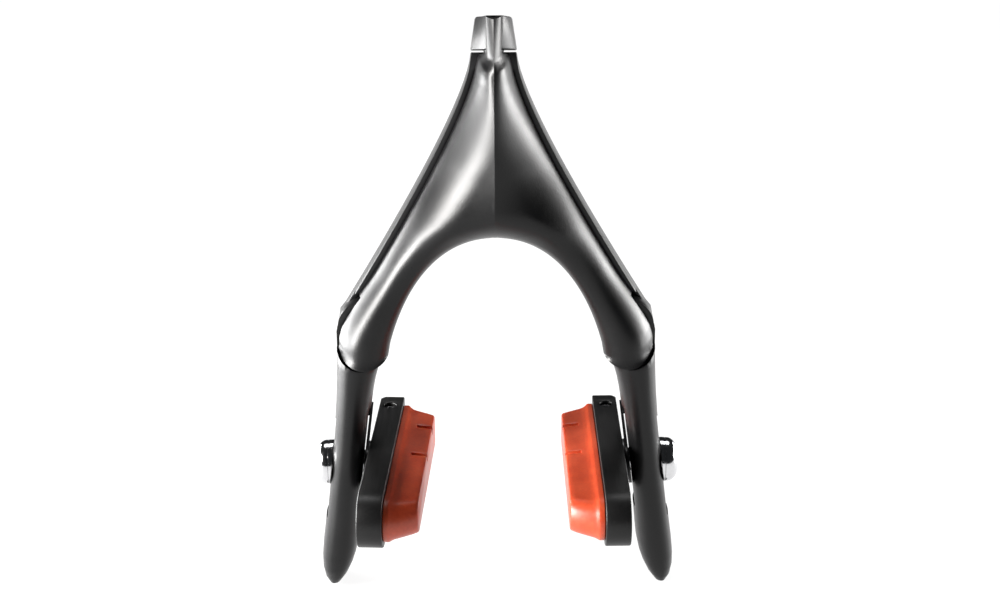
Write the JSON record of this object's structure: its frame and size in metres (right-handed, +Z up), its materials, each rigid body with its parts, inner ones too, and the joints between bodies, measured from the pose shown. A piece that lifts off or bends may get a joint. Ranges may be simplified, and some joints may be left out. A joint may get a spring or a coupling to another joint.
{
  "type": "rim brake caliper",
  "caption": "Centre-pull bicycle rim brake caliper: a slim ridged cover over a wishbone backbone, two pivoting arms driven by a wedge and rollers, and orange pads in long holders.",
  "frame": {"origin": "on the mounting bolt's axis at the rear face of the serrated washer that meets the fork crown", "axes": "+Z up, -Y to the front of the bicycle, +X to the right as seen from the front, +Y along the mounting bolt to the rear"},
  "size_m": [0.0772, 0.0606, 0.1275],
  "materials": {
    "satin_black": "satin bead-blasted black anodising",
    "machined_black": "machined matte black",
    "pad_rubber": "translucent salmon-orange rubber",
    "polished_steel": "polished",
    "steel": "brushed",
    "dark_steel": "dark",
    "bronze": "sintered bronze"
  },
  "bodies": {
    "frame": {"backbone": "satin_black", "nose_cap": "satin_black", "mounting_bolt": "steel", "mounting_washer": "steel", "frame_magnets": "steel", "left_pivot_bolt": "dark_steel", "right_pivot_bolt": "dark_steel", "left_return_spring": "steel", "right_return_spring": "steel"},
    "cover": {"front_cover": "satin_black", "cover_magnets": "steel"},
    "carriage": {"wedge": "dark_steel", "cable_anchor_bolt": "steel", "cable_anchor_washer": "steel"},
    "left_arm": {"left_arm": "satin_black", "left_bushing": "bronze", "left_roller_pin": "dark_steel", "left_tension_screw": "dark_steel"},
    "left_roller": {"left_roller": "steel"},
    "left_pad_mount": {"left_pad_bolt": "polished_steel", "left_bolt_washer": "polished_steel", "left_slide_plate": "satin_black", "left_dome_washer": "dark_steel"},
    "left_shoe": {"left_pad_holder": "machined_black", "left_pad": "pad_rubber", "left_pad_screw": "dark_steel"},
    "right_arm": {"right_arm": "satin_black", "right_bushing": "bronze", "right_roller_pin": "dark_steel", "right_tension_screw": "dark_steel"},
    "right_roller": {"right_roller": "steel"},
    "right_pad_mount": {"right_pad_bolt": "polished_steel", "right_bolt_washer": "polished_steel", "right_slide_plate": "satin_black", "right_dome_washer": "dark_steel"},
    "right_shoe": {"right_pad_holder": "machined_black", "right_pad": "pad_rubber", "right_pad_screw": "dark_steel"}
  },
  "joints": [
    {"name": "wedge_slide", "type": "slide", "parent": "frame", "child": "carriage", "axis": [0, 0, 1], "range_m": [0, 0.0075]},
    {"name": "cover_release", "type": "slide", "parent": "frame", "child": "cover", "axis": [0, -1, 0], "range_m": [0, 0.06]},
    {"name": "left_arm_pivot", "type": "hinge", "parent": "frame", "child": "left_arm", "pos_m": [-0.0274, -0.0096, -0.0265], "axis": [0, 1, 0], "range_deg": [-5.3, 0], "stiffness_Nm_per_rad": 0.2, "springref_deg": 20.05, "deforming": ["left_return_spring"]},
    {"name": "left_roller_spin", "type": "hinge", "parent": "left_arm", "child": "left_roller", "pos_m": [-0.0046, -0.0123, 0.0065], "axis": [0, 1, 0], "continuous": true},
    {"name": "left_pad_height", "type": "slide", "parent": "left_arm", "child": "left_pad_mount", "axis": [0.1149, 0, 0.9934], "range_m": [-0.0042, 0.0042]},
    {"name": "left_pad_pitch", "type": "hinge", "parent": "left_pad_mount", "child": "left_shoe", "pos_m": [-0.0241, -0.011, -0.058], "axis": [1, 0, 0], "range_deg": [-6, 6]},
    {"name": "right_arm_pivot", "type": "hinge", "parent": "frame", "child": "right_arm", "pos_m": [0.0274, -0.0096, -0.0265], "axis": [0, 1, 0], "range_deg": [0, 5.3], "stiffness_Nm_per_rad": 0.2, "springref_deg": -20.05, "deforming": ["right_return_spring"]},
    {"name": "right_roller_spin", "type": "hinge", "parent": "right_arm", "child": "right_roller", "pos_m": [0.0046, -0.0123, 0.0065], "axis": [0, 1, 0], "continuous": true},
    {"name": "right_pad_height", "type": "slide", "parent": "right_arm", "child": "right_pad_mount", "axis": [-0.1149, 0, 0.9934], "range_m": [-0.0042, 0.0042]},
    {"name": "right_pad_pitch", "type": "hinge", "parent": "right_pad_mount", "child": "right_shoe", "pos_m": [0.0241, -0.011, -0.058], "axis": [1, 0, 0], "range_deg": [-6, 6]}
  ],
  "couplings": [
    {"joint": "left_arm_pivot", "follows": "wedge_slide", "rad_per_m": -11.75},
    {"joint": "right_arm_pivot", "follows": "wedge_slide", "rad_per_m": 11.75}
  ]
}
